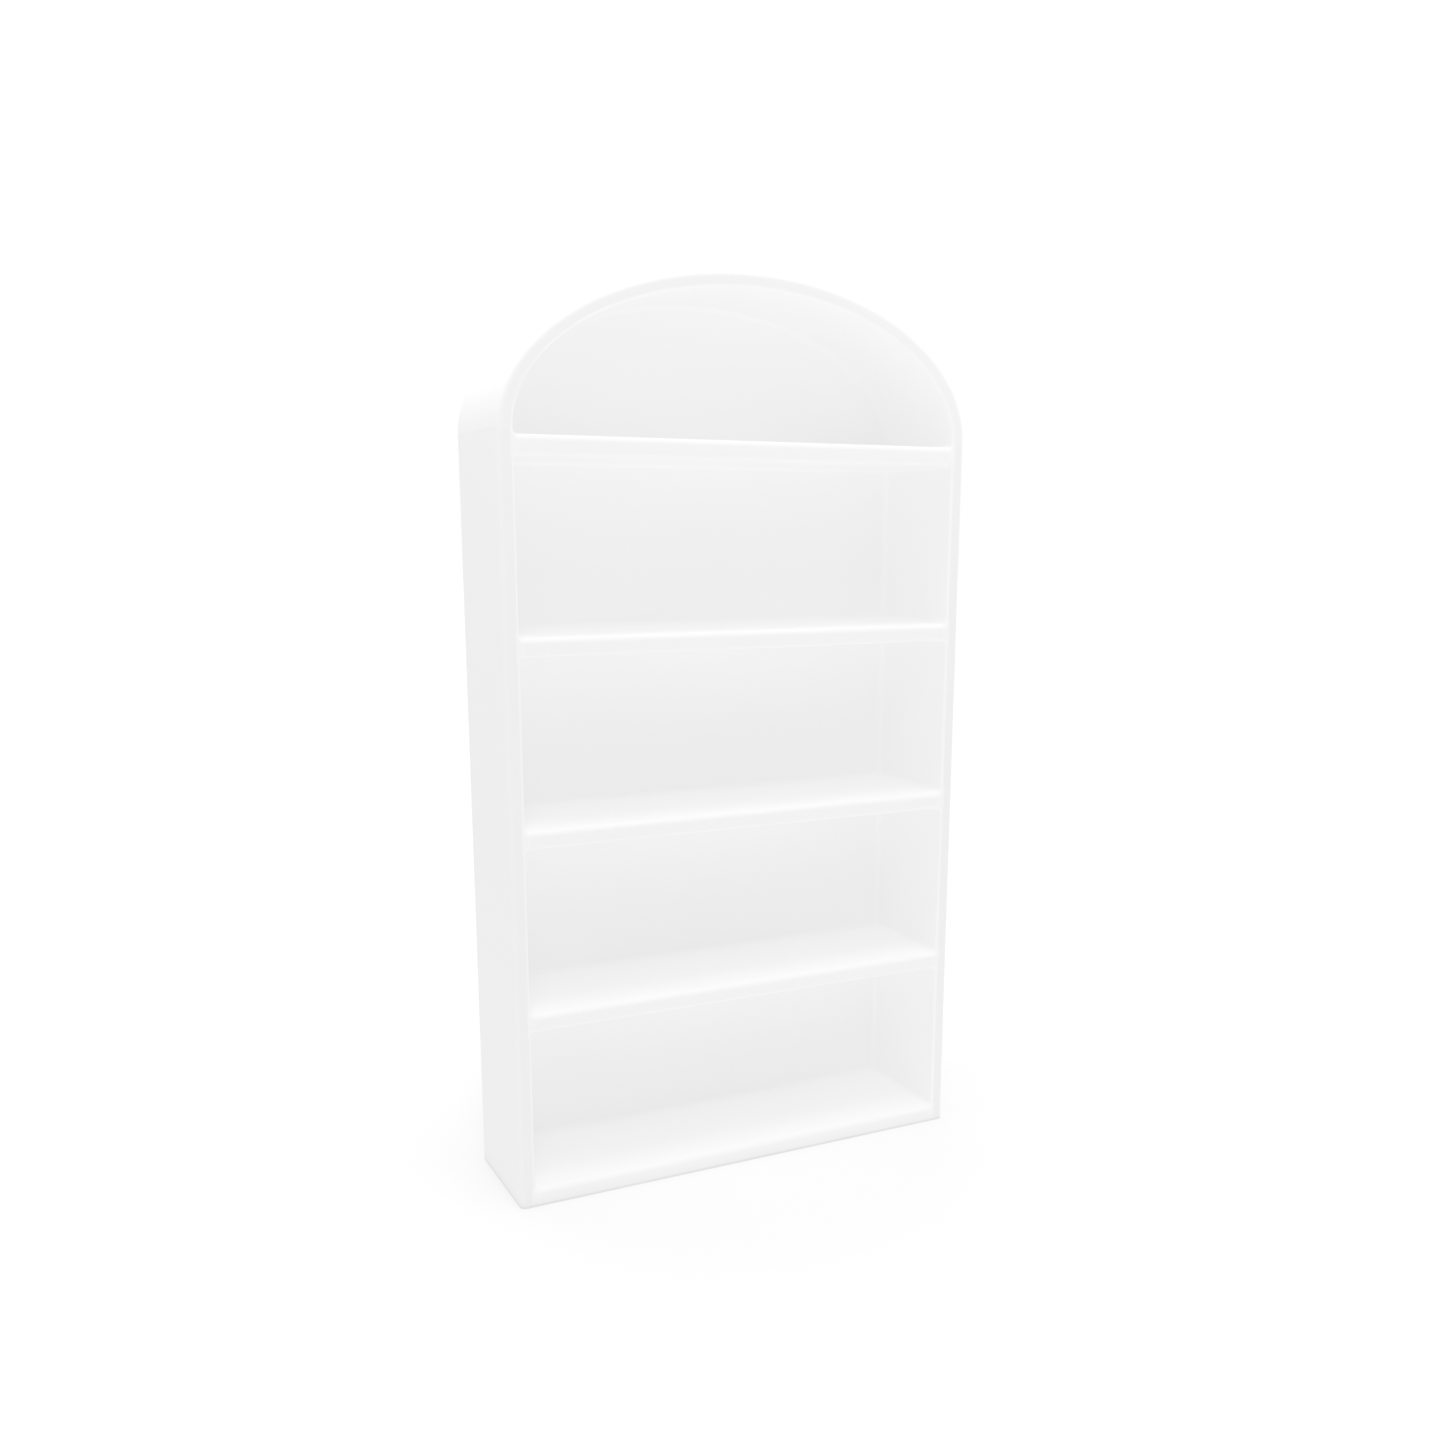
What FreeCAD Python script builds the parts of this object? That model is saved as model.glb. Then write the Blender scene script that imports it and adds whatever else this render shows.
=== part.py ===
import FreeCAD
import Part
import math
import os
import Sketcher

# Miniature arched bookcase at 1:12 dolls' house scale, in painted wood.
#
# Two straight sides carry a half-elliptical arch.  A base panel and four fixed
# shelves hold the sides apart on stub tenons, an arched back panel lies in a
# rebate all round, and dowels key the arch onto the sides.
#
# Frame: +Z up, the front faces -Y, and the origin is on the floor under the
# middle of the bookcase.  Lengths are in millimetres.

DRIVING_DIMENSIONS = (
    ("width", 90.0),
    ("depth", 23.5),
    ("springing", 134.4),
    ("arch_rise", 26.8),
    ("wall", 2.7),
    ("board", 3.2),
    ("board_pitch", 32.6),
    ("shelf_count", 4),
    ("back_panel", 1.4),
    ("rebate", 1.35),
    ("rim_outer_round", 1.0),
    ("rim_inner_round", 0.6),
    ("rear_round", 0.8),
    ("nose_top_round", 1.1),
    ("nose_bottom_round", 0.9),
    ("tenon_length", 1.0),
    ("tenon_thickness", 1.6),
    ("tenon_shoulder", 4.0),
    ("dowel_diameter", 1.2),
    ("dowel_length", 8.0),
    ("dowel_inset", 2.4),
    ("glue_gap", 0.05),
    ("end_gap", 0.2),
)

# Derived places, written as spreadsheet expressions.
ZERO = "0"
HALF_WIDTH = "dims.width / 2"
INNER_HALF = "(dims.width / 2 - dims.wall)"
FRONT = "-dims.depth / 2"
REAR = "dims.depth / 2"
BACK_FACE = "(dims.depth / 2 - dims.back_panel)"
TENON_FRONT = "(dims.tenon_shoulder - dims.depth / 2)"
TENON_REAR = "(dims.depth / 2 - dims.back_panel - dims.tenon_shoulder)"
TENON_FOOT = "((dims.board - dims.tenon_thickness) / 2)"
WALL_MIDDLE = "(dims.width / 2 - dims.wall / 2)"
DOWEL_FRONT = "(dims.dowel_inset - dims.depth / 2)"
DOWEL_REAR = "(dims.depth / 2 - dims.back_panel - dims.dowel_inset)"
HOLE_DEPTH = "dims.dowel_length / 2 + dims.end_gap"

# How a sketch numbers the points of a curve and its own axes.
START = 1
END = 2
CENTRE = 3
HORIZONTAL_AXIS = -1
VERTICAL_AXIS = -2
ORIGIN_POINT = (HORIZONTAL_AXIS, START)

# Lengths and volumes that differ by less than this count as the same.
TOLERANCE = 1e-4

document = FreeCAD.newDocument("MiniatureBookcase")
sheet = document.addObject("Spreadsheet::Sheet", "dims")
for row, (alias, size) in enumerate(DRIVING_DIMENSIONS, start=1):
    sheet.set(f"A{row}", alias)
    sheet.set(f"B{row}", str(size))
    sheet.setAlias(f"B{row}", alias)
document.recompute()


def size_of(expression):
    """Present value of an expression over the driving dimensions."""
    return float(sheet.evalExpression(expression))


def with_sign(sign, expression):
    """The expression, or its negative where the sign is negative."""
    return expression if sign > 0 else f"-({expression})"


def origin_feature(body, role):
    """One of the body's own origin planes or axes."""
    return next(item for item in body.Origin.OriginFeatures if item.Role == role)


def new_body(label):
    """Empty body, whose label names its file."""
    body = document.addObject("PartDesign::Body", label)
    body.Label = label
    return body


def new_sketch(body, label, plane, lift=ZERO):
    """Sketch on one of the body's own origin planes, lifted along the plane's normal."""
    sketch = body.newObject("Sketcher::SketchObject", f"{body.Label}_{label}")
    sketch.AttachmentSupport = [(origin_feature(body, plane), "")]
    sketch.MapMode = "FlatFace"
    sketch.setExpression("AttachmentOffset.Base.z", lift)
    return sketch


def new_feature(body, kind, label):
    """Feature at the end of a body."""
    return body.newObject(f"PartDesign::{kind}", f"{body.Label}_{label}")


def bind_distance(sketch, kind, first, second, name, expression):
    """Dimension between two sketch points, driven by an expression."""
    value = size_of(expression)
    index = sketch.addConstraint(Sketcher.Constraint(kind, *first, *second, value))
    sketch.renameConstraint(index, name)
    sketch.setExpression(f"Constraints.{name}", expression)


def place_point(sketch, point, name, across, along):
    """Fix a sketch point by its distances from the sketch origin."""
    if across == ZERO:
        sketch.addConstraint(Sketcher.Constraint("PointOnObject", *point, VERTICAL_AXIS))
    else:
        bind_distance(sketch, "DistanceX", ORIGIN_POINT, point, f"{name}_across", across)
    if along == ZERO:
        sketch.addConstraint(Sketcher.Constraint("PointOnObject", *point, HORIZONTAL_AXIS))
    else:
        bind_distance(sketch, "DistanceY", ORIGIN_POINT, point, f"{name}_along", along)


def draw_outline(sketch, corners):
    """Closed polygon through corners that are given as pairs of expressions."""
    points = [FreeCAD.Vector(size_of(across), size_of(along), 0) for across, along in corners]
    lines = []
    for number, start in enumerate(points):
        end = points[(number + 1) % len(points)]
        lines.append(sketch.addGeometry(Part.LineSegment(start, end), False))
    for number, line in enumerate(lines):
        following = lines[(number + 1) % len(lines)]
        sketch.addConstraint(Sketcher.Constraint("Coincident", line, END, following, START))
    for number, (across, along) in enumerate(corners):
        place_point(sketch, (lines[number], START), f"corner_{number}", across, along)


def draw_rectangle(sketch, left, right, low, high):
    """Rectangle between four expressions."""
    draw_outline(sketch, ((left, low), (right, low), (right, high), (left, high)))


def draw_half_ellipse(sketch, name, half_width, rise):
    """Upper half of an ellipse that springs from the top of the sides."""
    centre = FreeCAD.Vector(0, size_of("dims.springing"), 0)
    major = centre + FreeCAD.Vector(size_of(half_width), 0, 0)
    minor = centre + FreeCAD.Vector(0, size_of(rise), 0)
    full_ellipse = Part.Ellipse(major, minor, centre)
    arc = sketch.addGeometry(Part.ArcOfEllipse(full_ellipse, 0, math.pi), False)
    # The two axes of the ellipse follow the arc in the sketch's numbering.
    sketch.exposeInternalGeometry(arc)
    major_axis = arc + 1
    minor_axis = arc + 2
    place_point(sketch, (arc, CENTRE), f"{name}_centre", ZERO, "dims.springing")
    sketch.addConstraint(Sketcher.Constraint("Horizontal", major_axis))
    bind_distance(sketch, "DistanceX", (major_axis, END), (major_axis, START),
                  f"{name}_span", f"2 * {half_width}")
    bind_distance(sketch, "DistanceY", (minor_axis, END), (minor_axis, START),
                  f"{name}_height", f"2 * {rise}")
    for end in (START, END):
        sketch.addConstraint(Sketcher.Constraint("Horizontal", arc, end, arc, CENTRE))
    return arc


def join_with_line(sketch, start, end):
    """Straight line between the ends of two curves already in the sketch."""
    start_point = sketch.getPoint(*start)
    end_point = sketch.getPoint(*end)
    line = sketch.addGeometry(Part.LineSegment(start_point, end_point), False)
    sketch.addConstraint(Sketcher.Constraint("Coincident", line, START, *start))
    sketch.addConstraint(Sketcher.Constraint("Coincident", line, END, *end))


def drop_to_floor(sketch, start):
    """Vertical line from the end of a curve down to the floor."""
    top = sketch.getPoint(*start)
    foot = FreeCAD.Vector(top.x, 0, 0)
    line = sketch.addGeometry(Part.LineSegment(top, foot), False)
    sketch.addConstraint(Sketcher.Constraint("Coincident", line, START, *start))
    sketch.addConstraint(Sketcher.Constraint("Vertical", line))
    sketch.addConstraint(Sketcher.Constraint("PointOnObject", line, END, HORIZONTAL_AXIS))
    return line


def draw_holes(sketch, centres, diameter):
    """Circles round centres that are given as pairs of expressions."""
    for number, (across, along) in enumerate(centres):
        centre = FreeCAD.Vector(size_of(across), size_of(along), 0)
        circle = Part.Circle(centre, FreeCAD.Vector(0, 0, 1), size_of(diameter) / 2)
        index = sketch.addGeometry(circle, False)
        place_point(sketch, (index, CENTRE), f"hole_{number}", across, along)
        name = f"hole_{number}_diameter"
        limit = sketch.addConstraint(Sketcher.Constraint("Diameter", index, size_of(diameter)))
        sketch.renameConstraint(limit, name)
        sketch.setExpression(f"Constraints.{name}", diameter)


def extrude(body, kind, sketch, label, length, symmetric=False, reverse=False):
    """Pad or Pocket of a sketch, checked to have changed the solid."""
    before = body.Shape.Volume if body.Tip else 0.0
    feature = new_feature(body, kind, label)
    feature.Profile = sketch
    feature.SideType = "Symmetric" if symmetric else "One side"
    feature.Reversed = reverse
    feature.setExpression("Length", length)
    document.recompute()
    require_change(body, label, before)
    return feature


def repeat_upwards(body, original, label, count, length):
    """Repeat a feature along +Z over a total length."""
    before = body.Shape.Volume
    pattern = new_feature(body, "LinearPattern", label)
    pattern.Originals = [original]
    pattern.Direction = (origin_feature(body, "Z_Axis"), [""])
    pattern.setExpression("Length", length)
    pattern.setExpression("Occurrences", count)
    body.Tip = pattern
    document.recompute()
    require_change(body, label, before)


def round_edges(body, label, radius, chooses):
    """Fillet the edges whose midpoints are chosen."""
    before = body.Shape.Volume
    base = body.Tip
    names = []
    for number, edge in enumerate(body.Shape.Edges, start=1):
        middle = edge.valueAt((edge.FirstParameter + edge.LastParameter) / 2)
        if chooses(middle):
            names.append(f"Edge{number}")
    feature = new_feature(body, "Fillet", label)
    feature.Base = (base, names)
    feature.setExpression("Radius", radius)
    document.recompute()
    require_change(body, label, before)


def drill(body, sketch, label, reverse):
    """Flat-bottomed dowel holes."""
    before = body.Shape.Volume
    hole = new_feature(body, "Hole", label)
    hole.Profile = sketch
    hole.DrillPoint = "Flat"
    hole.Reversed = reverse
    hole.setExpression("Diameter", "dims.dowel_diameter + 2 * dims.glue_gap")
    hole.setExpression("Depth", HOLE_DEPTH)
    document.recompute()
    require_change(body, label, before)


def require_change(body, label, before):
    """Stop if a feature left the body's volume as it was."""
    if abs(body.Shape.Volume - before) < TOLERANCE:
        raise RuntimeError(f"{body.Label}: {label} changed nothing")


def near(value, expression):
    """Whether a length is that of an expression."""
    return abs(value - size_of(expression)) < TOLERANCE


def make_side(label, hand):
    """One straight side; hand is -1 for the left side and +1 for the right."""
    body = new_body(label)
    outer = with_sign(hand, HALF_WIDTH)
    inner = with_sign(hand, INNER_HALF)

    face = new_sketch(body, "inner_face", "YZ_Plane", inner)
    draw_rectangle(face, FRONT, REAR, ZERO, "dims.springing")
    extrude(body, "Pad", face, "board", "dims.wall", reverse=hand < 0)

    round_edges(body, "front_outer_round", "dims.rim_outer_round",
                lambda middle: near(middle.x, outer) and near(middle.y, FRONT))
    round_edges(body, "front_inner_round", "dims.rim_inner_round",
                lambda middle: near(middle.x, inner) and near(middle.y, FRONT))
    round_edges(body, "rear_outer_round", "dims.rear_round",
                lambda middle: near(middle.x, outer) and near(middle.y, REAR))

    rebate = new_sketch(body, "rebate_outline", "XZ_Plane", with_sign(-1, REAR))
    rebated = with_sign(hand, f"{INNER_HALF} + dims.rebate")
    draw_rectangle(rebate, inner, rebated, ZERO, "dims.springing")
    extrude(body, "Pocket", rebate, "rebate", "dims.back_panel", reverse=True)

    mortice = new_sketch(body, "mortice_outline", "YZ_Plane", inner)
    draw_rectangle(
        mortice,
        f"{TENON_FRONT} - dims.glue_gap",
        f"{TENON_REAR} + dims.glue_gap",
        f"{TENON_FOOT} - dims.glue_gap",
        f"{TENON_FOOT} + dims.tenon_thickness + dims.glue_gap",
    )
    mortice_depth = "dims.tenon_length + dims.end_gap"
    lowest = extrude(body, "Pocket", mortice, "mortice", mortice_depth, reverse=hand > 0)
    repeat_upwards(body, lowest, "mortices", "dims.shelf_count + 1",
                   "dims.shelf_count * dims.board_pitch")

    holes = new_sketch(body, "dowel_hole_centres", "XY_Plane", "dims.springing")
    middle_line = with_sign(hand, WALL_MIDDLE)
    draw_holes(holes, ((middle_line, DOWEL_FRONT), (middle_line, DOWEL_REAR)),
               "dims.dowel_diameter")
    drill(body, holes, "dowel_holes", reverse=False)
    return body


def make_arch():
    """Half-elliptical top with the same section as the sides."""
    body = new_body("arch_top")
    inner_rise = "(dims.arch_rise - dims.wall)"

    ring = new_sketch(body, "ring", "XZ_Plane")
    outer_arc = draw_half_ellipse(ring, "outer", f"({HALF_WIDTH})", "dims.arch_rise")
    inner_arc = draw_half_ellipse(ring, "inner", INNER_HALF, inner_rise)
    for end in (START, END):
        join_with_line(ring, (outer_arc, end), (inner_arc, end))
    extrude(body, "Pad", ring, "bend", "dims.depth", symmetric=True)

    crown = "dims.springing + dims.arch_rise"
    crown_inside = "dims.springing + dims.arch_rise - dims.wall"
    round_edges(body, "front_outer_round", "dims.rim_outer_round",
                lambda middle: near(middle.z, crown) and near(middle.y, FRONT))
    round_edges(body, "front_inner_round", "dims.rim_inner_round",
                lambda middle: near(middle.z, crown_inside) and near(middle.y, FRONT))
    round_edges(body, "rear_outer_round", "dims.rear_round",
                lambda middle: near(middle.z, crown) and near(middle.y, REAR))

    rebate = new_sketch(body, "rebate_outline", "XZ_Plane", with_sign(-1, REAR))
    rebate_arc = draw_half_ellipse(rebate, "rebate", f"({INNER_HALF} + dims.rebate)",
                                   f"({inner_rise} + dims.rebate)")
    join_with_line(rebate, (rebate_arc, START), (rebate_arc, END))
    extrude(body, "Pocket", rebate, "rebate", "dims.back_panel", reverse=True)

    holes = new_sketch(body, "dowel_hole_centres", "XY_Plane", "dims.springing")
    centres = []
    for hand in (-1, 1):
        for along in (DOWEL_FRONT, DOWEL_REAR):
            centres.append((with_sign(hand, WALL_MIDDLE), along))
    draw_holes(holes, centres, "dims.dowel_diameter")
    drill(body, holes, "dowel_holes", reverse=True)
    return body


def make_cross_board(label, level, rounded_below):
    """Base panel or shelf with a rounded nose and a stub tenon at each end."""
    body = new_body(label)
    plan = new_sketch(body, "plan", "XY_Plane")
    draw_rectangle(plan, with_sign(-1, INNER_HALF), INNER_HALF, FRONT, BACK_FACE)
    extrude(body, "Pad", plan, "board", "dims.board")

    round_edges(body, "nose_top_round", "dims.nose_top_round",
                lambda middle: near(middle.y, FRONT) and near(middle.z, "dims.board"))
    if rounded_below:
        round_edges(body, "nose_bottom_round", "dims.nose_bottom_round",
                    lambda middle: near(middle.y, FRONT) and near(middle.z, ZERO))

    tenon = new_sketch(body, "tenon_outline", "YZ_Plane")
    draw_rectangle(tenon, TENON_FRONT, TENON_REAR, TENON_FOOT,
                   f"{TENON_FOOT} + dims.tenon_thickness")
    extrude(body, "Pad", tenon, "tenons", f"2 * ({INNER_HALF} + dims.tenon_length)",
            symmetric=True)
    body.setExpression("Placement.Base.z", level)
    return body


def make_back_panel():
    """Arched panel that lies in the rear rebate and closes the back."""
    body = new_body("back_panel")
    outline = new_sketch(body, "outline", "XZ_Plane", with_sign(-1, REAR))
    half_width = f"({INNER_HALF} + dims.rebate - dims.glue_gap)"
    rise = "(dims.arch_rise - dims.wall + dims.rebate - dims.glue_gap)"
    arc = draw_half_ellipse(outline, "top", half_width, rise)
    right = drop_to_floor(outline, (arc, START))
    left = drop_to_floor(outline, (arc, END))
    join_with_line(outline, (right, END), (left, END))
    extrude(body, "Pad", outline, "panel", "dims.back_panel")
    return body


def make_arch_dowels():
    """Four dowels, half in the sides and half in the feet of the arch."""
    dowels = []
    for hand, side in ((-1, "left"), (1, "right")):
        for along, end in ((DOWEL_FRONT, "front"), (DOWEL_REAR, "rear")):
            dowel = document.addObject("Part::Cylinder", f"dowel_{side}_{end}")
            dowel.setExpression("Radius", "dims.dowel_diameter / 2")
            dowel.setExpression("Height", "dims.dowel_length")
            dowel.setExpression("Placement.Base.x", with_sign(hand, WALL_MIDDLE))
            dowel.setExpression("Placement.Base.y", along)
            dowel.setExpression("Placement.Base.z", "dims.springing - dims.dowel_length / 2")
            dowels.append(dowel)
    group = document.addObject("Part::Compound", "arch_dowels")
    group.Label = "arch_dowels"
    group.Links = dowels
    return group


def check_and_write(sub_parts):
    """Stop on any failed object or bad shape, then write one STEP file per sub-part."""
    document.recompute()
    for item in document.Objects:
        if "Invalid" in item.State or "Error" in item.State:
            raise RuntimeError(f"{item.Label} failed: {item.State}")
    for item in sub_parts:
        if item.Shape.isNull() or not item.Shape.isValid():
            raise RuntimeError(f"{item.Label} has no valid shape")
    os.makedirs("parts", exist_ok=True)
    for item in sub_parts:
        item.Shape.exportStep(f"parts/{item.Label}.step")
        print(f"{item.Label}: {len(item.Shape.Solids)} solid(s), {item.Shape.Volume:.1f} mm3")


nodes = [
    make_side("left_side", -1),
    make_side("right_side", 1),
    make_arch(),
    make_cross_board("base_panel", ZERO, rounded_below=False),
]
for shelf in range(1, int(size_of("dims.shelf_count")) + 1):
    shelf_level = f"{shelf} * dims.board_pitch"
    nodes.append(make_cross_board(f"shelf_{shelf}", shelf_level, rounded_below=True))
nodes.append(make_back_panel())
nodes.append(make_arch_dowels())
check_and_write(nodes)
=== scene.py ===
"""Looks of the miniature arched bookcase: painted-wood materials, paint fillets in the inner
corners, a pale floor, soft studio light and the camera.  Lengths are in metres."""

import math

import bmesh
import bpy
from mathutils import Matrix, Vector


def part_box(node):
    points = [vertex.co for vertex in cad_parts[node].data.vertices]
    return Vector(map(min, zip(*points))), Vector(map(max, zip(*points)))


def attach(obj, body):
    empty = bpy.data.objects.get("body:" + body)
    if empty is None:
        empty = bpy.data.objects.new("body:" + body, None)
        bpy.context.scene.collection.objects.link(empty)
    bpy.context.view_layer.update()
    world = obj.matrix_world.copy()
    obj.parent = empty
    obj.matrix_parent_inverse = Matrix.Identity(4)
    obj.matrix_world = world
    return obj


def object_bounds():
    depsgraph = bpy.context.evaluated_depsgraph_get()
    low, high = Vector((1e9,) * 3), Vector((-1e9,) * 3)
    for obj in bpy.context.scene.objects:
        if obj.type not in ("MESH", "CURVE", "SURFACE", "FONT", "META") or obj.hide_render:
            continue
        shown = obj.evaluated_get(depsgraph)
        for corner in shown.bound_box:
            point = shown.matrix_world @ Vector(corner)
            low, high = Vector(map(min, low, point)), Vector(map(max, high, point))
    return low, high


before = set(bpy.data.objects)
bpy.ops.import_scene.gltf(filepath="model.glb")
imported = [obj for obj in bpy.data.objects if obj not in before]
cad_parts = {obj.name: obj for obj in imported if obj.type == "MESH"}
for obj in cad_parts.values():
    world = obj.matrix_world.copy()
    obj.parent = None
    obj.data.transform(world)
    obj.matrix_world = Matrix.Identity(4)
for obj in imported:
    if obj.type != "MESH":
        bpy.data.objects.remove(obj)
cad_low, cad_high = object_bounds()

MM = 0.001

# Edge and corner radii of the bookcase, as its parts are rounded.
RIM_INNER_ROUND = 0.6 * MM
NOSE_TOP_ROUND = 1.1 * MM
NOSE_BOTTOM_ROUND = 0.9 * MM

# The paint fillets: how far paint fills an inner corner, how far it stands proud of the
# wood where it ends, and how deep each fillet's hidden side lies in the wood.
FILLET = 0.8 * MM
PROUD = 0.004 * MM
EMBED = 0.25 * MM

# Steps round a corner, across a fillet and along the arch; the bend from which an edge shows
# as a crease; how near vertices are joined; and the length of an edge that is dropped.
FAN_STEPS = 8
ARC_STEPS = 8
ARCH_STEPS = 96
CREASE_ANGLE = math.radians(30)
JOIN_WITHIN = 1e-7
LEAST_EDGE = 1e-8

# Places read from the frame.
INNER_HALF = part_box("right_side")[0].x
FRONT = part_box("right_side")[0].y
BACK_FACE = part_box("back_panel")[0].y
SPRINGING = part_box("arch_top")[0].z
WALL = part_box("right_side")[1].x - INNER_HALF
INNER_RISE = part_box("arch_top")[1].z - SPRINGING - WALL
BOARDS = ("base_panel", "shelf_1", "shelf_2", "shelf_3", "shelf_4")
PANEL_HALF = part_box("back_panel")[1].x
PANEL_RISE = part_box("back_panel")[1].z - SPRINGING
WIDTH = cad_high.x - cad_low.x


def top_of(board):
    """Level of a board's upper face."""
    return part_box(board)[1].z


def foot_of(board):
    """Level of a board's lower face."""
    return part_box(board)[0].z


# ---------------------------------------------------------------- materials


class NodeTree:
    """Short names for adding and joining shader nodes."""

    def __init__(self, tree):
        self.tree = tree

    def add(self, kind, **settings):
        node = self.tree.nodes.new(kind)
        for name, value in settings.items():
            setattr(node, name, value)
        return node

    def link(self, output, socket):
        self.tree.links.new(output, socket)

    def math(self, operation, first, second=None):
        node = self.add("ShaderNodeMath", operation=operation)
        for socket, value in zip(node.inputs, (first, second)):
            if value is None:
                continue
            if isinstance(value, (int, float)):
                socket.default_value = value
            else:
                self.link(value, socket)
        return node.outputs[0]

    def number(self, value):
        node = self.add("ShaderNodeValue")
        node.outputs[0].default_value = value
        return node.outputs[0]

    def noise(self, vector, scale, detail, roughness=0.5):
        node = self.add("ShaderNodeTexNoise")
        node.inputs["Scale"].default_value = scale
        node.inputs["Detail"].default_value = detail
        node.inputs["Roughness"].default_value = roughness
        self.link(vector, node.inputs["Vector"])
        return node.outputs["Fac"]

    def stretch(self, vector, factors):
        node = self.add("ShaderNodeMapping")
        node.inputs["Scale"].default_value = factors
        self.link(vector, node.inputs["Vector"])
        return node.outputs["Vector"]

    def remap(self, value, low, high):
        node = self.add("ShaderNodeMapRange")
        self.link(value, node.inputs["Value"])
        node.inputs["To Min"].default_value = low
        node.inputs["To Max"].default_value = high
        return node.outputs["Result"]

    def mix(self, factor, first, second):
        node = self.add("ShaderNodeMix", data_type="RGBA")
        self.link(factor, node.inputs["Factor"])
        for name, value in (("A", first), ("B", second)):
            socket = next(s for s in node.inputs if s.name == name and s.type == "RGBA")
            if isinstance(value, tuple):
                socket.default_value = value
            else:
                self.link(value, socket)
        return next(s for s in node.outputs if s.type == "RGBA")


def new_material(name, preview):
    """Material with an empty tree, a Principled shader and its output."""
    material = bpy.data.materials.new(name)
    material.diffuse_color = preview
    material.use_nodes = True
    nodes = NodeTree(material.node_tree)
    nodes.tree.nodes.clear()
    shader = nodes.add("ShaderNodeBsdfPrincipled")
    shader.inputs["Base Color"].default_value = preview
    output = nodes.add("ShaderNodeOutputMaterial")
    nodes.link(shader.outputs["BSDF"], output.inputs["Surface"])
    return material, nodes, shader


# Colours of light, and of the paint where it is as usual, thin, lighter with a painted edge
# highlight, whitest, darker with painted shade along the foot, darkest with a painted contact
# shadow at the floor, and sunk into a seam.
WHITE = (1.0, 1.0, 1.0, 1.0)
PAINT = (0.926, 0.926, 0.925, 1.0)
PAINT_THIN = (0.904, 0.903, 0.900, 1.0)
PAINT_EDGE_HIGHLIGHT = (0.950, 0.950, 0.948, 1.0)
PAINT_WHITEST = (0.985, 0.985, 0.984, 1.0)
PAINT_FOOT_SHADE = (0.60, 0.595, 0.58, 1.0)
PAINT_CONTACT_SHADOW = (0.16, 0.157, 0.152, 1.0)
PAINT_IN_SEAM = (0.50, 0.497, 0.49, 1.0)

# The flat of a front edge is a little warmer than grey: its share of red, green and blue.
EDGE_TINT = (1.0, 0.999, 0.995)

PAINT_ROUGHNESS = (0.36, 0.60)
PAINT_SPECULAR = 0.35
PAINT_SHEEN = 0.05
SHEEN_ROUGHNESS = 0.6

# Patterns in the paint, in repeats per metre: broad clouds, grain streaks, orange peel.
CLOUD_SCALE = 55.0
STREAK_SCALE = 900.0
PEEL_SCALE = 2600.0
THIN_PATCHES = 1.6

# Relief of the surface: how much streaks, peel and sunken seams weigh in it, its strength on
# paint and on a bare dowel, and its depth at full strength.
STREAK_RELIEF = 0.6
PEEL_RELIEF = 0.4
SEAM_RELIEF = 4.0
PAINT_RELIEF = 0.12
DOWEL_RELIEF = 0.3
RELIEF_DEPTH = 0.03 * MM

# Painted shade in bands round the foot, a broad one and a thin dark contact shadow: how high they
# go, how fast they fade and their least strength.
FOOT_SHADE_HEIGHT = 2.4 * MM
FOOT_SHADE_FADE = 2.0
CONTACT_SHADOW_HEIGHT = 0.5 * MM
CONTACT_SHADOW_FADE = 0.5
BAND_STRENGTH = 0.4

# How fast the painted shade on the flat of a front edge fades where the edge rounds over: above or
# aside, and below.
# How fast the painted highlight on the rounds fades, and how patchy the painted shade on the flat
# is.
FLAT_FADE = 4.0
UNDER_FADE = 1.0
ROUND_FADE = 2.0
FLAT_PATCHES = (0.75, 1.0)

# Painted highlight along convex edges: how near to an edge it starts, how fast it grows and its
# extra shine.
EDGE_HIGHLIGHT_REACH = 0.35 * MM
EDGE_HIGHLIGHT_GAIN = 4.0
EDGE_HIGHLIGHT_GLOSS = 0.08
EDGE_HIGHLIGHT_PATCHES = (0.3, 1.0)

# Sunken seams: half their width, how squarely a surface has to face out, and the strength
# of the seam between the arch and the sides.
SEAM_REACH = 0.30 * MM
SEAM_FACING = 0.7
SPRINGING_SEAM = 0.25
SEAM_PATCHES = (0.5, 1.0)


def foot_band(nodes, place, clouds, height, fade):
    """Share of an uneven band of painted shade along the foot, which fades out at a height."""
    parts = nodes.add("ShaderNodeSeparateXYZ")
    nodes.link(place, parts.inputs[0])
    lift = nodes.math("DIVIDE", parts.outputs["Z"], height)
    share = nodes.math("MAXIMUM", nodes.math("SUBTRACT", 1.0, lift), 0.0)
    share = nodes.math("POWER", share, fade)
    return nodes.math("MULTIPLY", share, nodes.math("ADD", clouds, BAND_STRENGTH))


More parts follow.
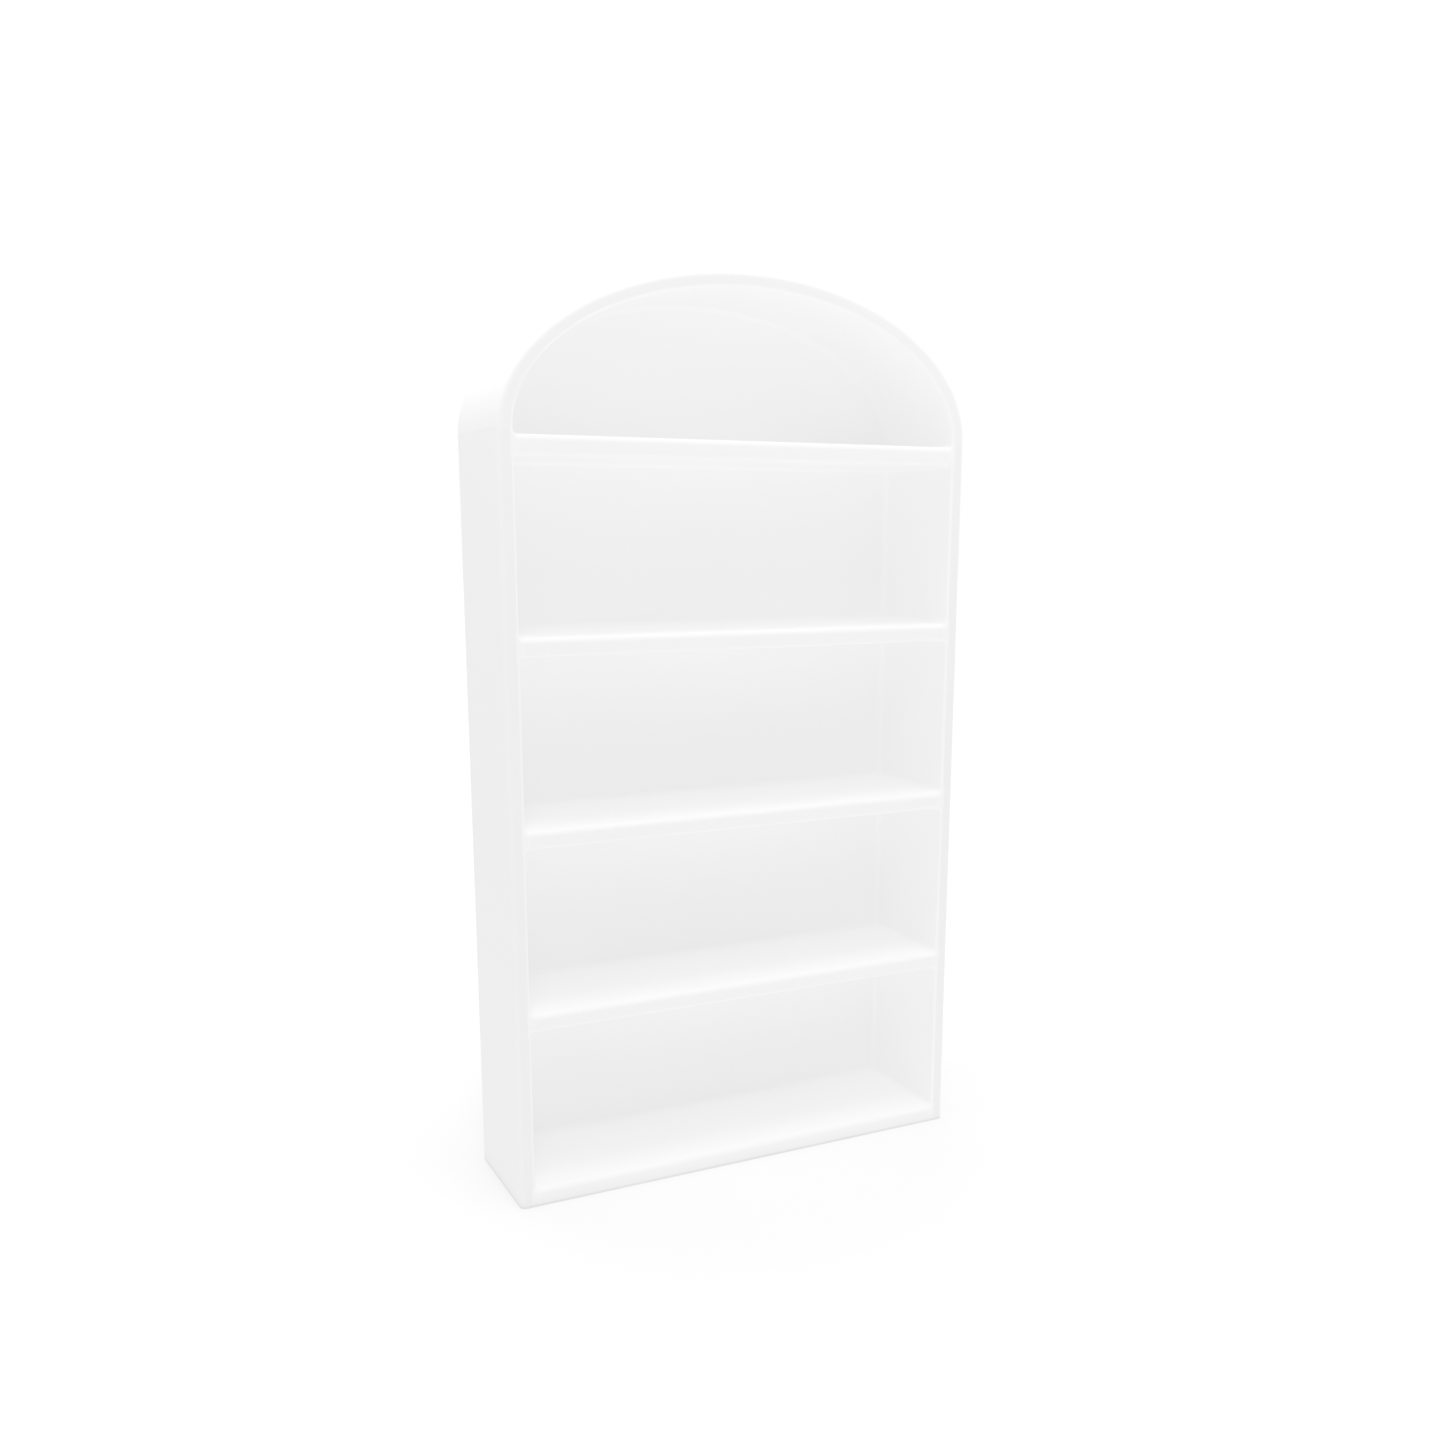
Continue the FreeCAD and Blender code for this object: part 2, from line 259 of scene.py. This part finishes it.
class FrontEdge:
    """Which way the surface faces, and whether it lies at the front edge of a board."""

    def __init__(self, nodes):
        self.nodes = nodes
        facing = nodes.add("ShaderNodeSeparateXYZ")
        nodes.link(nodes.add("ShaderNodeNewGeometry").outputs["Normal"], facing.inputs[0])
        place = nodes.add("ShaderNodeSeparateXYZ")
        nodes.link(nodes.add("ShaderNodeTexCoord").outputs["Object"], place.inputs[0])
        side = nodes.math("SIGN", place.outputs["X"])
        outward = nodes.math("MULTIPLY", facing.outputs["X"], side)
        self.near = nodes.math("LESS_THAN", place.outputs["Y"], FRONT + NOSE_TOP_ROUND)
        self.forward = self.at_least_0(nodes.math("MULTIPLY", facing.outputs["Y"], -1.0))
        self.inward = self.at_least_0(nodes.math("MULTIPLY", outward, -1.0))
        self.upward = self.at_least_0(facing.outputs["Z"])
        self.downward = self.at_least_0(nodes.math("MULTIPLY", facing.outputs["Z"], -1.0))

    def at_least_0(self, value):
        """The value, or 0 where it is negative."""
        return self.nodes.math("MAXIMUM", value, 0.0)

    def flat(self, level, clouds):
        """Share of the painted shade on the flat of the front edge, and under a level one."""
        fade = FLAT_FADE
        if level:
            under = self.nodes.math("GREATER_THAN", self.downward, 0.0)
            fade = self.nodes.math("MULTIPLY", under, UNDER_FADE - FLAT_FADE)
            fade = self.nodes.math("ADD", fade, FLAT_FADE)
        share = self.nodes.math("POWER", self.forward, fade)
        share = self.nodes.math("MULTIPLY", share, self.near)
        return self.nodes.math("MULTIPLY", share, self.nodes.remap(clouds, *FLAT_PATCHES))

    def rounded(self, level):
        """Share of the painted highlight, in the whitest paint, on the rounds that face inwards or
        lie on top.
        """
        aside = self.nodes.math("MAXIMUM", self.inward, self.upward if level else self.downward)
        # Doubled, because the product is a half where the round faces both ways alike.
        share = self.nodes.math("MULTIPLY", self.nodes.math("MULTIPLY", aside, self.forward), 2.0)
        share = self.nodes.math("MINIMUM", self.nodes.math("POWER", share, ROUND_FADE), 1.0)
        return self.nodes.math("MULTIPLY", share, self.near)


def seam_line(nodes, distance):
    """Share of sunken paint at a distance from a joint: 1 on the joint, fading to 0."""
    line = nodes.add("ShaderNodeMapRange", interpolation_type="SMOOTHSTEP")
    nodes.link(nodes.math("ABSOLUTE", distance), line.inputs["Value"])
    line.inputs["From Max"].default_value = SEAM_REACH
    line.inputs["To Min"].default_value = 1.0
    line.inputs["To Max"].default_value = 0.0
    return line.outputs["Result"]


def sunken_seams(nodes, place, clouds):
    """Share of the paint sunk into the joints: round the back panel, seen from behind, and
    faintly across the outside where the arch stands on the sides."""
    parts = nodes.add("ShaderNodeSeparateXYZ")
    nodes.link(place, parts.inputs[0])
    facing = nodes.add("ShaderNodeSeparateXYZ")
    nodes.link(nodes.add("ShaderNodeNewGeometry").outputs["Normal"], facing.inputs[0])
    above = nodes.math("SUBTRACT", parts.outputs["Z"], SPRINGING)

    across = nodes.math("DIVIDE", parts.outputs["X"], PANEL_HALF)
    up = nodes.math("DIVIDE", nodes.math("MAXIMUM", above, 0.0), PANEL_RISE)
    squares = nodes.math("ADD", nodes.math("POWER", across, 2.0), nodes.math("POWER", up, 2.0))
    beyond = nodes.math("SUBTRACT", nodes.math("SQRT", squares), 1.0)
    around = seam_line(nodes, nodes.math("MULTIPLY", beyond, PANEL_HALF))
    behind = nodes.math("GREATER_THAN", facing.outputs["Y"], SEAM_FACING)
    around = nodes.math("MULTIPLY", around, behind)

    outward = nodes.math("MULTIPLY", facing.outputs["X"], nodes.math("SIGN", parts.outputs["X"]))
    outside = nodes.math("GREATER_THAN", outward, SEAM_FACING)
    outside = nodes.math("MULTIPLY", outside, SPRINGING_SEAM)
    joint = nodes.math("MULTIPLY", seam_line(nodes, above), outside)
    share = nodes.math("MAXIMUM", around, joint)
    return nodes.math("MULTIPLY", share, nodes.remap(clouds, *SEAM_PATCHES))


def painted_edge_highlights(nodes, clouds):
    """Share of the painted highlight along convex edges, found by rounding the normals."""
    bevel = nodes.add("ShaderNodeBevel", samples=4)
    bevel.inputs["Radius"].default_value = EDGE_HIGHLIGHT_REACH
    product = nodes.add("ShaderNodeVectorMath", operation="DOT_PRODUCT")
    nodes.link(bevel.outputs["Normal"], product.inputs[0])
    nodes.link(nodes.add("ShaderNodeNewGeometry").outputs["Normal"], product.inputs[1])
    bend = nodes.math("SUBTRACT", 1.0, product.outputs["Value"])
    share = nodes.math("MINIMUM", nodes.math("MULTIPLY", bend, EDGE_HIGHLIGHT_GAIN), 1.0)
    return nodes.math("MULTIPLY", share, nodes.remap(clouds, *EDGE_HIGHLIGHT_PATCHES))


def add_relief(nodes, shader, height, strength):
    """Fine bump of the surface."""
    bump = nodes.add("ShaderNodeBump")
    bump.inputs["Strength"].default_value = strength
    bump.inputs["Distance"].default_value = RELIEF_DEPTH
    nodes.link(height, bump.inputs["Height"])
    nodes.link(bump.outputs["Normal"], shader.inputs["Normal"])


def painted_wood(name, grain, shaded_front_white, level=True, coat=1.0):
    """Satin white paint over sanded wood, whose grain runs along one axis.

    grain holds the stretch of the grain pattern along X, Y and Z: small along the grain.
    shaded_front_white is how white the flat of a board's front edge is.
    level is True for a board whose front edge is rounded above as well as below.
    coat is 1 for the usual paint and 2 for a whiter one, which on the paint fillets is a painted
    highlight in the inner corners.
    """
    material, nodes, shader = new_material(name, PAINT)
    place = nodes.add("ShaderNodeTexCoord").outputs["Object"]
    clouds = nodes.noise(place, CLOUD_SCALE, detail=3.0)
    streaks = nodes.noise(nodes.stretch(place, grain), STREAK_SCALE, detail=4.0, roughness=0.6)
    peel = nodes.noise(place, PEEL_SCALE, detail=2.0)

    thin = nodes.math("MULTIPLY", nodes.math("MULTIPLY", clouds, streaks), THIN_PATCHES)
    colour = nodes.mix(thin, PAINT, PAINT_THIN)
    # Whiter paint where coat is above 1; on the paint fillets this is a painted highlight.
    colour = nodes.mix(nodes.number(coat - 1.0), colour, PAINT_WHITEST)
    front_edge = FrontEdge(nodes)
    # Painted shade: the flat of each front edge is darker, spreading further round under a level
    # board's nose.
    edge_colour = tuple(shaded_front_white * share for share in EDGE_TINT) + (1.0,)
    colour = nodes.mix(front_edge.flat(level, clouds), colour, edge_colour)
    # Painted highlight in the whitest paint on the rounds of the front edges.
    colour = nodes.mix(front_edge.rounded(level), colour, PAINT_WHITEST)
    # Painted shade in a band along the foot, darker towards the floor.
    foot_shade = foot_band(nodes, place, clouds, FOOT_SHADE_HEIGHT, FOOT_SHADE_FADE)
    colour = nodes.mix(foot_shade, colour, PAINT_FOOT_SHADE)
    # Painted highlight: lighter paint along the convex edges.
    edge_highlight = painted_edge_highlights(nodes, clouds)
    colour = nodes.mix(edge_highlight, colour, PAINT_EDGE_HIGHLIGHT)
    seams = sunken_seams(nodes, place, clouds)
    colour = nodes.mix(seams, colour, PAINT_IN_SEAM)
    # Painted contact shadow: a thin dark band where the foot meets the floor.
    contact_shadow = foot_band(nodes, place, clouds, CONTACT_SHADOW_HEIGHT, CONTACT_SHADOW_FADE)
    contact_shadow = nodes.math("MINIMUM", contact_shadow, 1.0)
    nodes.link(nodes.mix(contact_shadow, colour, PAINT_CONTACT_SHADOW), shader.inputs["Base Color"])

    rough = nodes.remap(nodes.math("ADD", clouds, streaks), *PAINT_ROUGHNESS)
    rough = nodes.math("SUBTRACT", rough, nodes.math("MULTIPLY", edge_highlight, EDGE_HIGHLIGHT_GLOSS))
    nodes.link(rough, shader.inputs["Roughness"])
    shader.inputs["Specular IOR Level"].default_value = PAINT_SPECULAR
    shader.inputs["Sheen Weight"].default_value = PAINT_SHEEN
    shader.inputs["Sheen Roughness"].default_value = SHEEN_ROUGHNESS

    height = nodes.math("ADD", nodes.math("MULTIPLY", streaks, STREAK_RELIEF),
                        nodes.math("MULTIPLY", peel, PEEL_RELIEF))
    height = nodes.math("SUBTRACT", height, nodes.math("MULTIPLY", seams, SEAM_RELIEF))
    add_relief(nodes, shader, height, PAINT_RELIEF)
    return material


FIBRE_SCALE = 4200.0
FIBRES_ALONG_Z = (1.0, 1.0, 0.06)
DOWEL_PREVIEW = (0.62, 0.45, 0.27, 1.0)
DOWEL_LIGHT = (0.70, 0.53, 0.33, 1.0)
DOWEL_DARK = (0.48, 0.32, 0.17, 1.0)
DOWEL_ROUGHNESS = (0.55, 0.8)


def bare_dowel_wood():
    """Unpainted round dowel with fine grain along its length."""
    material, nodes, shader = new_material("bare_dowel_wood", DOWEL_PREVIEW)
    place = nodes.add("ShaderNodeTexCoord").outputs["Object"]
    along = nodes.stretch(place, FIBRES_ALONG_Z)
    fibres = nodes.noise(along, FIBRE_SCALE, detail=5.0, roughness=0.65)
    nodes.link(nodes.mix(fibres, DOWEL_LIGHT, DOWEL_DARK), shader.inputs["Base Color"])
    nodes.link(nodes.remap(fibres, *DOWEL_ROUGHNESS), shader.inputs["Roughness"])
    add_relief(nodes, shader, fibres, DOWEL_RELIEF)
    return material


GRAIN_ALONG_X = (0.05, 1.0, 1.0)
GRAIN_ALONG_Z = (1.0, 1.0, 0.05)
NO_GRAIN = (1.0, 1.0, 1.0)

# How white the painted shade on the flat of the front edge is, from board to board.
UPRIGHT_EDGE = 0.70
ARCH_EDGE = 0.74
LEVEL_EDGE = 0.85
FILLED_EDGE = 0.88

upright_paint = painted_wood("white_paint_upright_grain", GRAIN_ALONG_Z, UPRIGHT_EDGE, level=False)
arch_paint = painted_wood("white_paint_arch_grain", GRAIN_ALONG_X, ARCH_EDGE, level=False, coat=1.8)
level_paint = painted_wood("white_paint_level_grain", GRAIN_ALONG_X, LEVEL_EDGE, coat=1.8)
# The paint fillets get the whitest paint, a painted highlight along the inner corners.
filled_paint = painted_wood("white_paint_filled_corner", NO_GRAIN, FILLED_EDGE, coat=1.9)

NODE_MATERIALS = {
    "left_side": upright_paint,
    "right_side": upright_paint,
    "back_panel": upright_paint,
    "arch_top": arch_paint,
    "base_panel": level_paint,
    "shelf_1": level_paint,
    "shelf_2": level_paint,
    "shelf_3": level_paint,
    "shelf_4": level_paint,
    "arch_dowels": bare_dowel_wood(),
}
for node_name, node_material in NODE_MATERIALS.items():
    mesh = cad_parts[node_name].data
    mesh.materials.clear()
    mesh.materials.append(node_material)


# ------------------------------------------------------------ paint fillets


def unit(across, up):
    """The same direction with a length of 1."""
    length = math.hypot(across, up)
    return (across / length, up / length)


def corner_fan(side, wall_x, board_z, up):
    """Centre and outward directions of a rounded corner between a wall and a board.

    side is -1 on the left and +1 on the right; up is -1 over a board and +1 under one.
    """
    centre = (wall_x - side * FILLET, board_z - up * FILLET)
    directions = []
    for step in range(FAN_STEPS + 1):
        angle = math.pi / 2 * step / FAN_STEPS
        directions.append((side * math.cos(angle), up * math.sin(angle)))
    return centre, directions


def rectangle_track(floor_z, ceiling_z):
    """Track of a ball rolled round a rectangular compartment, as centre, direction pairs."""
    corners = (
        (1, floor_z, -1, True),
        (1, ceiling_z, 1, False),
        (-1, ceiling_z, 1, True),
        (-1, floor_z, -1, False),
    )
    track = []
    for side, level, up, backwards in corners:
        centre, directions = corner_fan(side, side * INNER_HALF, level, up)
        if backwards:
            directions = directions[::-1]
        track.extend((centre, direction) for direction in directions)
    return track


def arch_track(floor_z):
    """The same track for the compartment under the arch."""
    track = []
    centre, directions = corner_fan(1, INNER_HALF, floor_z, -1)
    track.extend((centre, direction) for direction in directions[::-1])
    for step in range(1, ARCH_STEPS):
        angle = math.pi * step / ARCH_STEPS
        across = INNER_HALF * math.cos(angle)
        up = INNER_RISE * math.sin(angle)
        outward = unit(math.cos(angle) / INNER_HALF, math.sin(angle) / INNER_RISE)
        centre = (across - outward[0] * FILLET, SPRINGING + up - outward[1] * FILLET)
        track.append((centre, outward))
    centre, directions = corner_fan(-1, -INNER_HALF, floor_z, -1)
    track.extend((centre, direction) for direction in directions)
    return track


def add_back_cove(mesh, track):
    """Closed ring of paint where the walls of a compartment meet the back panel."""
    rings = []
    for (across, up), (out_x, out_z) in track:
        ring = []
        for step in range(ARC_STEPS + 1):
            angle = math.pi / 2 * step / ARC_STEPS
            reach = (FILLET - PROUD) * math.cos(angle)
            depth = BACK_FACE - FILLET + (FILLET - PROUD) * math.sin(angle)
            ring.append(mesh.verts.new((across + out_x * reach, depth, up + out_z * reach)))
        hidden = (
            (0.0, BACK_FACE + EMBED),
            (FILLET + EMBED, BACK_FACE + EMBED),
            (FILLET + EMBED, BACK_FACE - FILLET),
        )
        for distance, depth in hidden:
            ring.append(mesh.verts.new((across + out_x * distance, depth, up + out_z * distance)))
        rings.append(ring)
    join_rings(mesh, rings, closed=True)


def add_corner_strip(mesh, side, board_z, up, nose_round, foot_z):
    """Paint in the corner of a wall and a board, rounded over where it reaches the front.

    The strip runs forward from the back cove, turns over the front edge and carries on
    down (or up) the front to foot_z, where it hides the end of the board's nose.
    """
    (centre_x, centre_z), directions = corner_fan(side, side * INNER_HALF, board_z, up)
    hidden_x = side * (INNER_HALF + EMBED)
    hidden_z = board_z + up * EMBED
    hidden_front = FRONT + nose_round + EMBED
    reach = FILLET - PROUD
    rows = []

    def add_row(points, hidden):
        rows.append([mesh.verts.new(point) for point in points] + [mesh.verts.new(hidden)])

    add_row(
        [(centre_x + x * reach, BACK_FACE - FILLET, centre_z + z * reach) for x, z in directions],
        (hidden_x, BACK_FACE - FILLET, hidden_z),
    )
    edge_rounds = []
    for step in range(FAN_STEPS + 1):
        share = 0.5 - 0.5 * math.cos(math.pi * step / FAN_STEPS)
        edge_rounds.append(RIM_INNER_ROUND + (nose_round - RIM_INNER_ROUND) * share)
    for step in range(ARC_STEPS + 1):
        angle = math.pi / 2 * step / ARC_STEPS
        points = []
        for (x, z), radius in zip(directions, edge_rounds):
            distance = reach + radius * (1 - math.cos(angle))
            depth = FRONT - PROUD + radius * (1 - math.sin(angle))
            points.append((centre_x + x * distance, depth, centre_z + z * distance))
        add_row(points, (hidden_x, hidden_front, hidden_z))
    last = [vertex.co for vertex in rows[-1][:-1]]
    add_row([(point.x, point.y, foot_z) for point in last], (hidden_x, hidden_front, foot_z))

    join_rings(mesh, rows, closed=False)
    mesh.faces.new(rows[0])
    mesh.faces.new(rows[-1][::-1])


def join_rings(mesh, rings, closed):
    """Quads between neighbouring rings of vertices."""
    pairs = list(zip(rings, rings[1:]))
    if closed:
        pairs.append((rings[-1], rings[0]))
    for first, second in pairs:
        for number in range(len(first)):
            after = (number + 1) % len(first)
            mesh.faces.new((first[number], first[after], second[after], second[number]))


def finish_piece(name, mesh, material):
    """Turn a bmesh into a smooth-shaded piece that rides on the bookcase."""
    bmesh.ops.remove_doubles(mesh, verts=mesh.verts, dist=JOIN_WITHIN)
    bmesh.ops.dissolve_degenerate(mesh, dist=LEAST_EDGE, edges=mesh.edges)
    bmesh.ops.recalc_face_normals(mesh, faces=mesh.faces)
    data = bpy.data.meshes.new(name)
    mesh.to_mesh(data)
    mesh.free()
    data.materials.append(material)
    data.shade_smooth()
    data.set_sharp_from_angle(angle=CREASE_ANGLE)
    piece = bpy.data.objects.new(name, data)
    bpy.context.scene.collection.objects.link(piece)
    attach(piece, "root")


def board_foot(board):
    """Level down to which the front of a board's end is filled: its middle, or the floor."""
    if board == BOARDS[0]:
        return foot_of(board)
    return (foot_of(board) + top_of(board)) / 2


def make_fillets():
    """One piece of paint for the inner corners of each compartment, from the base up."""
    for number, board in enumerate(BOARDS):
        mesh = bmesh.new()
        floor_z = top_of(board)
        for side in (-1, 1):
            add_corner_strip(mesh, side, floor_z, -1, NOSE_TOP_ROUND, board_foot(board))
        if number + 1 < len(BOARDS):
            above = BOARDS[number + 1]
            ceiling_z = foot_of(above)
            for side in (-1, 1):
                add_corner_strip(mesh, side, ceiling_z, 1, NOSE_BOTTOM_ROUND, board_foot(above))
            add_back_cove(mesh, rectangle_track(floor_z, ceiling_z))
        else:
            add_back_cove(mesh, arch_track(floor_z))
        finish_piece(f"paint_fillet_over_{board}", mesh, filled_paint)


make_fillets()


# ------------------------------------------------- floor, light and camera


# The floor is lit from beneath as well, except on the left, and the camera sees it whiten
# away from the bookcase.  Distances are in widths.
FLOOR_GLOW = 0.15
GLOW_ENDS = -0.8
GLOW_FULL = 0.1
FAR_SHINE = 0.30
SHINE_STARTS = 0.5
SHINE_FADE = 0.6
FLOOR_REACH = 40.0
FLOOR_LIGHT = (0.955, 0.955, 0.955, 1.0)
FLOOR_DARK = (0.945, 0.945, 0.945, 1.0)
FLOOR_ROUGHNESS = 0.9
FLOOR_SPECULAR = 0.1
MOTTLE_SCALE = 9.0


def floor_glow(nodes, place):
    """Light that the floor gives to the bookcase: none from beyond its left side."""
    parts = nodes.add("ShaderNodeSeparateXYZ")
    nodes.link(place, parts.inputs[0])
    reach = nodes.add("ShaderNodeMapRange", interpolation_type="SMOOTHSTEP")
    nodes.link(parts.outputs["X"], reach.inputs["Value"])
    reach.inputs["From Min"].default_value = GLOW_ENDS * WIDTH
    reach.inputs["From Max"].default_value = GLOW_FULL * WIDTH
    reach.inputs["To Max"].default_value = FLOOR_GLOW
    return reach.outputs["Result"]


def floor_shine(nodes, place):
    """Light of the floor as the camera sees it, rising from none with the distance."""
    away = nodes.add("ShaderNodeVectorMath", operation="LENGTH")
    nodes.link(place, away.inputs[0])
    widths = nodes.math("DIVIDE", away.outputs["Value"], WIDTH)
    beyond = nodes.math("MAXIMUM", nodes.math("SUBTRACT", widths, SHINE_STARTS), 0.0)
    fade = nodes.math("EXPONENT", nodes.math("MULTIPLY", beyond, -1.0 / SHINE_FADE))
    return nodes.math("MULTIPLY", nodes.math("SUBTRACT", 1.0, fade), FAR_SHINE)


def make_floor():
    """Plain pale floor, far larger than the view."""
    reach = FLOOR_REACH * WIDTH
    mesh = bmesh.new()
    corners = ((-reach, -reach), (reach, -reach), (reach, reach), (-reach, reach))
    mesh.faces.new([mesh.verts.new((x, y, 0.0)) for x, y in corners])
    data = bpy.data.meshes.new("floor")
    mesh.to_mesh(data)
    mesh.free()
    floor = bpy.data.objects.new("floor", data)
    bpy.context.scene.collection.objects.link(floor)
    data.materials.append(pale_floor())


def pale_floor():
    """Matt pale floor, a little mottled, that glows."""
    material, nodes, shader = new_material("pale_floor", FLOOR_LIGHT)
    place = nodes.add("ShaderNodeTexCoord").outputs["Object"]
    mottle = nodes.noise(place, MOTTLE_SCALE, detail=2.0)
    nodes.link(nodes.mix(mottle, FLOOR_LIGHT, FLOOR_DARK), shader.inputs["Base Color"])
    shader.inputs["Roughness"].default_value = FLOOR_ROUGHNESS
    shader.inputs["Specular IOR Level"].default_value = FLOOR_SPECULAR
    shader.inputs["Emission Color"].default_value = WHITE
    seen = nodes.add("ShaderNodeLightPath").outputs["Is Camera Ray"]
    unseen = nodes.math("SUBTRACT", 1.0, seen)
    glow = nodes.math("ADD", nodes.math("MULTIPLY", unseen, floor_glow(nodes, place)),
                      nodes.math("MULTIPLY", seen, floor_shine(nodes, place)))
    nodes.link(glow, shader.inputs["Emission Strength"])
    return material


# Brightness of the surroundings by direction: a bright ceiling, a wall behind and a dark
# card on the left.
CEILING_LIGHT = 1.70
CEILING_FOCUS = 12.0
UPWARD_LIGHT = 0.04
BACK_WALL_LIGHT = 0.79
LEFT_CARD = -0.85


def make_surroundings():
    """Soft white studio all round; the camera itself sees plain white behind the floor."""
    world = bpy.data.worlds.new("studio")
    bpy.context.scene.world = world
    world.use_nodes = True
    nodes = NodeTree(world.node_tree)
    nodes.tree.nodes.clear()
    direction = nodes.add("ShaderNodeTexCoord").outputs["Generated"]
    parts = nodes.add("ShaderNodeSeparateXYZ")
    nodes.link(direction, parts.inputs[0])
    upward = nodes.math("MAXIMUM", parts.outputs["Z"], 0.0)
    backward = nodes.math("MAXIMUM", parts.outputs["Y"], 0.0)
    leftward = nodes.math("MAXIMUM", nodes.math("MULTIPLY", parts.outputs["X"], -1.0), 0.0)
    ceiling = nodes.math("MULTIPLY", nodes.math("POWER", upward, CEILING_FOCUS), CEILING_LIGHT)
    overhead = nodes.math("MULTIPLY", upward, UPWARD_LIGHT)
    wall = nodes.math("MULTIPLY", backward, BACK_WALL_LIGHT)
    card = nodes.math("MULTIPLY", leftward, LEFT_CARD)
    level = nodes.math("ADD", nodes.math("ADD", ceiling, overhead), nodes.math("ADD", wall, card))
    level = nodes.math("MAXIMUM", level, 0.0)
    soft = nodes.add("ShaderNodeBackground")
    nodes.link(level, soft.inputs["Strength"])
    soft.inputs["Color"].default_value = WHITE
    plain = nodes.add("ShaderNodeBackground")
    plain.inputs["Strength"].default_value = 1.0
    plain.inputs["Color"].default_value = WHITE
    choice = nodes.add("ShaderNodeMixShader")
    nodes.link(nodes.add("ShaderNodeLightPath").outputs["Is Camera Ray"], choice.inputs["Fac"])
    nodes.link(soft.outputs[0], choice.inputs[1])
    nodes.link(plain.outputs[0], choice.inputs[2])
    nodes.link(choice.outputs[0], nodes.add("ShaderNodeOutputWorld").inputs["Surface"])


# Far soft lights: name, direction towards the light, brightness and angular size in degrees.
FAR_LIGHTS = (
    ("key_light", Vector((-0.320, -1.0, 1.28)), 0.205, 20),
    ("top_light", Vector((-0.050, -0.6, 4.00)), 0.345, 25),
)


def make_far_lights():
    """Suns whose energy is pi times their level, so that level 1 shows white as white."""
    for name, toward, level, degrees in FAR_LIGHTS:
        data = bpy.data.lights.new(name, "SUN")
        data.energy = math.pi * level
        data.angle = math.radians(degrees)
        light = bpy.data.objects.new(name, data)
        bpy.context.scene.collection.objects.link(light)
        light.rotation_euler = (-toward).to_track_quat("-Z", "Y").to_euler()


# Soft panels round the arch: name, bearing from straight ahead, height angle, distance and
# diameter in widths of the bookcase, and brightness at the arch.  They aim a little below
# the middle of the arch's height.
ARCH_PANELS = (
    ("left_panel", -45, 12, 1.3, 0.7, 0.068),
    ("right_panel", 50, 25, 1.3, 0.7, 0.172),
    ("upper_panel", 0, 35, 1.3, 0.8, 0.044),
    ("shoulder_panel", -90, 55, 1.1, 0.6, 0.680),
)
PANEL_AIM_DROP = 0.02


def make_arch_panels():
    """Round panels that the camera doesn't see, turned to the arch.

    Their power grows with the square of the distance, so level sets the light at the arch.
    """
    aim = Vector((0.0, 0.0, (SPRINGING + cad_high.z) / 2 - PANEL_AIM_DROP * WIDTH))
    for name, bearing, height, distance, diameter, level in ARCH_PANELS:
        turn = math.radians(bearing)
        lift = math.radians(height)
        toward = Vector((
            math.sin(turn) * math.cos(lift),
            -math.cos(turn) * math.cos(lift),
            math.sin(lift),
        ))
        reach = distance * WIDTH
        data = bpy.data.lights.new(name, "AREA")
        data.shape = "DISK"
        data.size = diameter * WIDTH
        data.energy = (math.pi * reach) ** 2 * level
        light = bpy.data.objects.new(name, data)
        bpy.context.scene.collection.objects.link(light)
        light.location = aim + toward * reach
        light.rotation_euler = (aim - light.location).to_track_quat("-Z", "Y").to_euler()
        light.visible_camera = False
        light.visible_glossy = False


# Brightness that black has in the picture, the tone curve for all colours together, and how
# often light is followed from one white surface to the next.
VEIL = 0.70
ALL_COLOURS = 3
WHITE_BOUNCES = 8


def set_tone():
    """High-key print: a straight tone line that lifts the darks towards the white floor."""
    scene = bpy.context.scene
    scene.view_settings.view_transform = "Standard"
    scene.view_settings.use_curve_mapping = True
    curves = scene.view_settings.curve_mapping
    combined = curves.curves[ALL_COLOURS]
    combined.points[0].location = (0.0, VEIL)
    combined.points[1].location = (1.0, 1.0)
    curves.update()
    scene.cycles.diffuse_bounces = WHITE_BOUNCES


# The camera stands left of the middle, above half height, turned right and tipped down; its
# lens is shifted so that the bookcase sits in the middle of the frame.  Places are in widths.
CAMERA_ACROSS = -1.2557
CAMERA_AHEAD = 2.4427
CAMERA_UP = 1.3087
CAMERA_TURN = math.radians(26.114)
CAMERA_TIP = math.radians(11.579)
CAMERA_LENS = 34.507
CAMERA_SENSOR = 36.0
CAMERA_SHIFT = 0.0660
CAMERA_NEAR = 0.1
CAMERA_FAR = 200.0


def make_camera():
    """Camera of the photo."""
    data = bpy.data.cameras.new("camera")
    data.sensor_width = CAMERA_SENSOR
    data.lens = CAMERA_LENS
    data.shift_y = CAMERA_SHIFT
    data.clip_start = CAMERA_NEAR * WIDTH
    data.clip_end = CAMERA_FAR * WIDTH
    camera = bpy.data.objects.new("camera", data)
    bpy.context.scene.collection.objects.link(camera)
    camera.location = (
        CAMERA_ACROSS * WIDTH,
        FRONT - CAMERA_AHEAD * WIDTH,
        CAMERA_UP * WIDTH,
    )
    camera.rotation_euler = (math.pi / 2 - CAMERA_TIP, 0.0, -CAMERA_TURN)
    bpy.context.scene.camera = camera


make_floor()
make_surroundings()
make_far_lights()
make_arch_panels()
make_camera()
set_tone()
